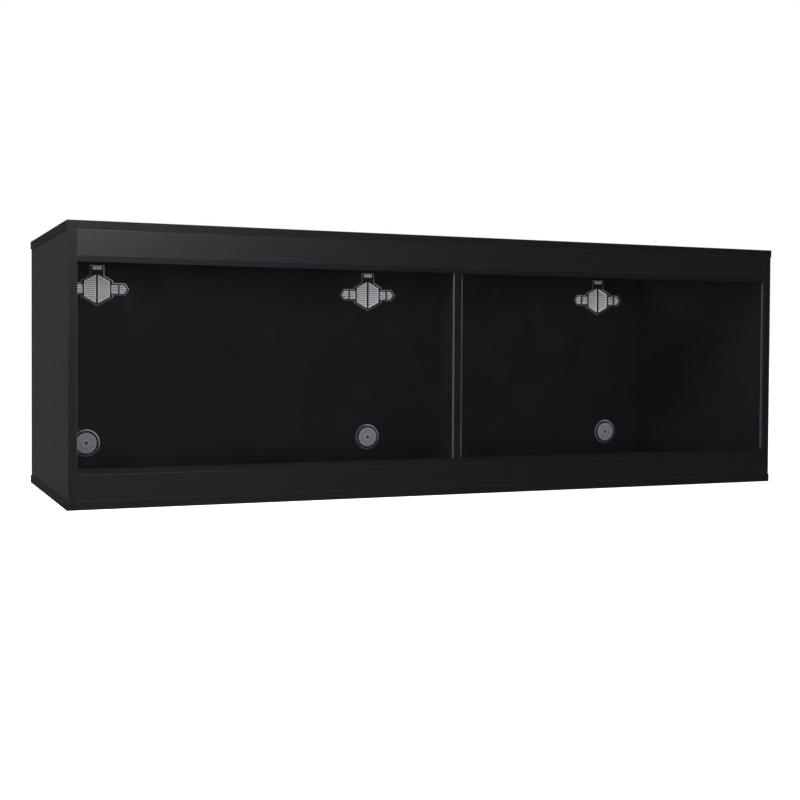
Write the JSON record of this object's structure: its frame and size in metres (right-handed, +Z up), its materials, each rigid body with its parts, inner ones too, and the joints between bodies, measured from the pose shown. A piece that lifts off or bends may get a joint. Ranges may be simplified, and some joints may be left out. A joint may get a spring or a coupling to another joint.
{
  "type": "glass-fronted display cabinet",
  "caption": "Long low black board cabinet open at the front behind two sliding glass doors, with vents high and round cable ports low in the back.",
  "frame": {"origin": "middle of the overall footprint, on the underside of the bottom panel", "axes": "+X along the front from left to right as seen from the front, +Y from the front to the back, +Z up"},
  "size_m": [1.15, 0.3874, 0.385],
  "materials": {
    "black_board": "melamine facing, fine pearl grain, satin",
    "black_track": "extruded PVC, satin",
    "clear_glass": "float glass, polished edges",
    "black_moulding": "moulded ABS, semi-gloss",
    "grey_insert": "moulded ABS, light grey",
    "grey_cap": "moulded ABS, grey, knurled edge",
    "black_screw": "black-coated steel",
    "black_plug": "moulded polyethylene",
    "beech": "turned, fluted"
  },
  "bodies": {
    "cabinet": {"top_panel": "black_board", "bottom_panel": "black_board", "left_side_panel": "black_board", "right_side_panel": "black_board", "back_panel": "black_board", "upper_fascia": "black_board", "lower_fascia": "black_board", "centre_strut": "black_board", "upper_glass_track": "black_track", "lower_glass_track": "black_track", "left_vent_frame": "black_moulding", "left_vent_insert": "grey_insert", "left_vent_rear_plate": "black_moulding", "left_port_sleeve": "black_moulding", "left_port_rear_ring": "black_moulding", "centre_vent_frame": "black_moulding", "centre_vent_insert": "grey_insert", "centre_vent_rear_plate": "black_moulding", "centre_port_sleeve": "black_moulding", "centre_port_rear_ring": "black_moulding", "right_vent_frame": "black_moulding", "right_vent_insert": "grey_insert", "right_vent_rear_plate": "black_moulding", "right_port_sleeve": "black_moulding", "right_port_rear_ring": "black_moulding", "top_screws": "black_screw", "bottom_screws": "black_screw", "screw_plugs": "black_plug", "alignment_dowels": "beech"},
    "left_door": {"left_glass_door": "clear_glass"},
    "right_door": {"right_glass_door": "clear_glass"},
    "left_cap": {"left_port_cap": "grey_cap"},
    "centre_cap": {"centre_port_cap": "grey_cap"},
    "right_cap": {"right_port_cap": "grey_cap"}
  },
  "joints": [
    {"name": "left_door_slide", "type": "slide", "parent": "cabinet", "child": "left_door", "axis": [1, 0, 0], "range_m": [0, 0.552]},
    {"name": "right_door_slide", "type": "slide", "parent": "cabinet", "child": "right_door", "axis": [-1, 0, 0], "range_m": [0, 0.552]},
    {"name": "left_cap_turn", "type": "hinge", "parent": "cabinet", "child": "left_cap", "pos_m": [-0.4895, 0.18025, 0.062], "axis": [0, 1, 0], "range_deg": [0, 60]},
    {"name": "centre_cap_turn", "type": "hinge", "parent": "cabinet", "child": "centre_cap", "pos_m": [0, 0.18025, 0.062], "axis": [0, 1, 0], "range_deg": [0, 60]},
    {"name": "right_cap_turn", "type": "hinge", "parent": "cabinet", "child": "right_cap", "pos_m": [0.4895, 0.18025, 0.062], "axis": [0, 1, 0], "range_deg": [0, 60]}
  ]
}
